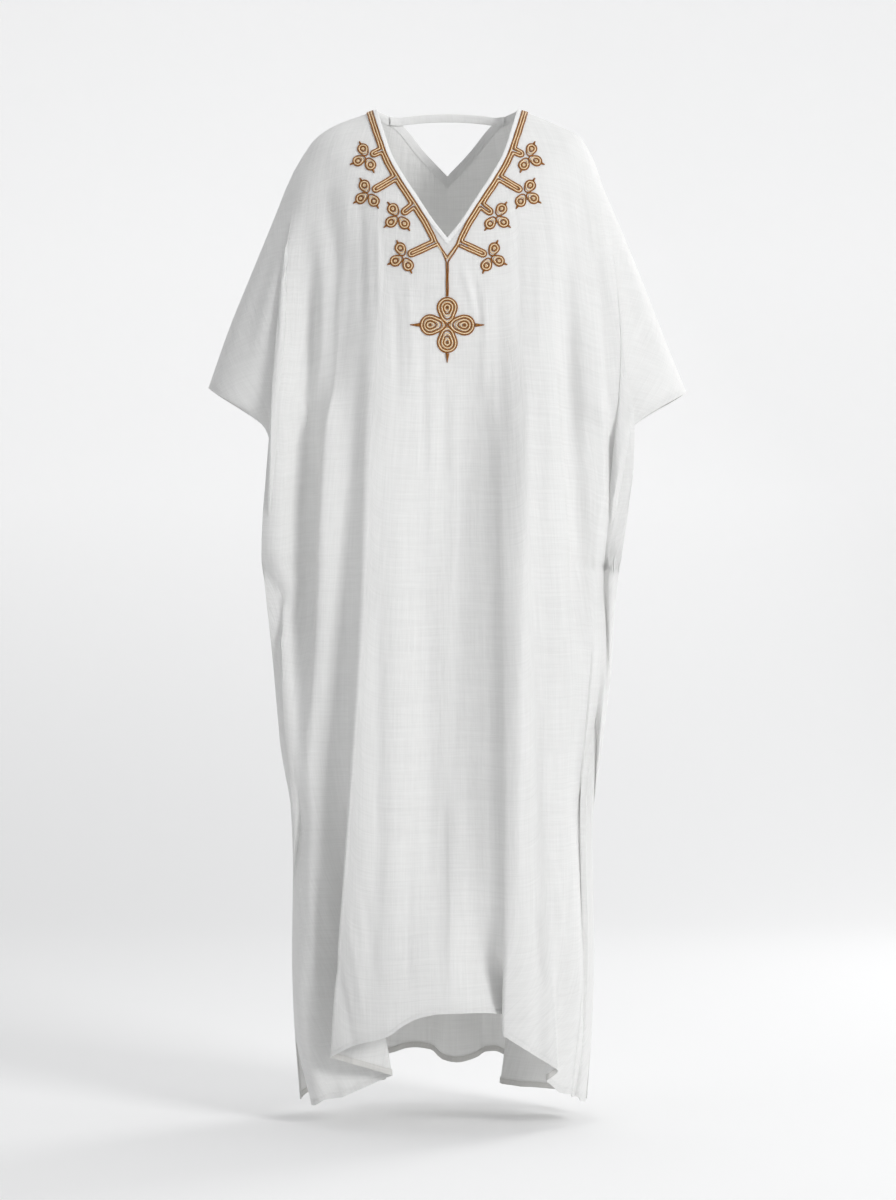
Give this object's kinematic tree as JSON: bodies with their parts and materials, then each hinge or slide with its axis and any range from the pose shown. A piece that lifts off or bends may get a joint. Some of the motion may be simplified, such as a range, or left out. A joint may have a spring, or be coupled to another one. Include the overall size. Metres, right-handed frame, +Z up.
{
  "type": "kaftan",
  "caption": "Full-length loose kaftan as worn: V neck with couched gold cords, trefoil bars and a pendant, batwing sleeves, open cuffs, side slits and a dipped hem; hollow inside.",
  "frame": {"origin": "middle of the shoulder line, level with the two neck points where the garment rests on the shoulders", "axes": "+X to the right of a viewer who faces the front, +Y towards the back, +Z up along the length; the front faces -Y"},
  "size_m": [0.65, 0.2801, 1.3505],
  "materials": {
    "linen": "matt plain weave",
    "gold_cord": "twisted metallic cord, soft sheen"
  },
  "bodies": {
    "root": {"front_panel": "linen", "back_panel": "linen", "neck_binding_front": "linen", "neck_binding_back": "linen", "back_neck_strap": "linen", "gold_band_left": "gold_cord", "gold_band_right": "gold_cord", "gold_stem": "gold_cord", "gold_quatrefoil": "gold_cord", "gold_bar_left_1": "gold_cord", "gold_bar_left_2": "gold_cord", "gold_bar_left_3": "gold_cord", "gold_bar_left_4": "gold_cord", "gold_bar_right_1": "gold_cord", "gold_bar_right_2": "gold_cord", "gold_bar_right_3": "gold_cord", "gold_bar_right_4": "gold_cord", "gold_trefoil_left_1": "gold_cord", "gold_trefoil_left_2": "gold_cord", "gold_trefoil_left_3": "gold_cord", "gold_trefoil_left_4": "gold_cord", "gold_trefoil_right_1": "gold_cord", "gold_trefoil_right_2": "gold_cord", "gold_trefoil_right_3": "gold_cord", "gold_trefoil_right_4": "gold_cord"}
  },
  "joints": []
}
